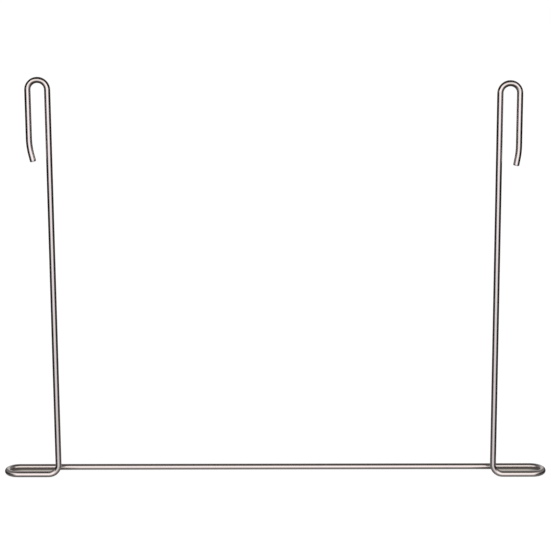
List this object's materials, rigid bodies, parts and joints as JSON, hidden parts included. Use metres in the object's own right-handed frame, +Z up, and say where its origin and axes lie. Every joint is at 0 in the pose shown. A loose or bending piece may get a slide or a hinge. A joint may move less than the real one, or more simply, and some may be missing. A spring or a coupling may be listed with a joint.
{
  "type": "mud flap bracket",
  "caption": "Bent rod bracket that hooks on a flap hanger and holds a mud flap's lower edge in a slot between its front runs and back bar.",
  "frame": {"origin": "below the middle of the bracket's width, halfway between its front and its back, level with the underside of the back bar", "axes": "+X across the vehicle to the right seen from the front, +Z up towards the hooks, the front with the uprights faces -Y and the back bar is on the +Y side"},
  "size_m": [0.6298, 0.0344, 0.4683],
  "materials": {
    "rod_steel": "satin"
  },
  "bodies": {
    "root": {"bent_rod": "rod_steel"}
  },
  "joints": []
}
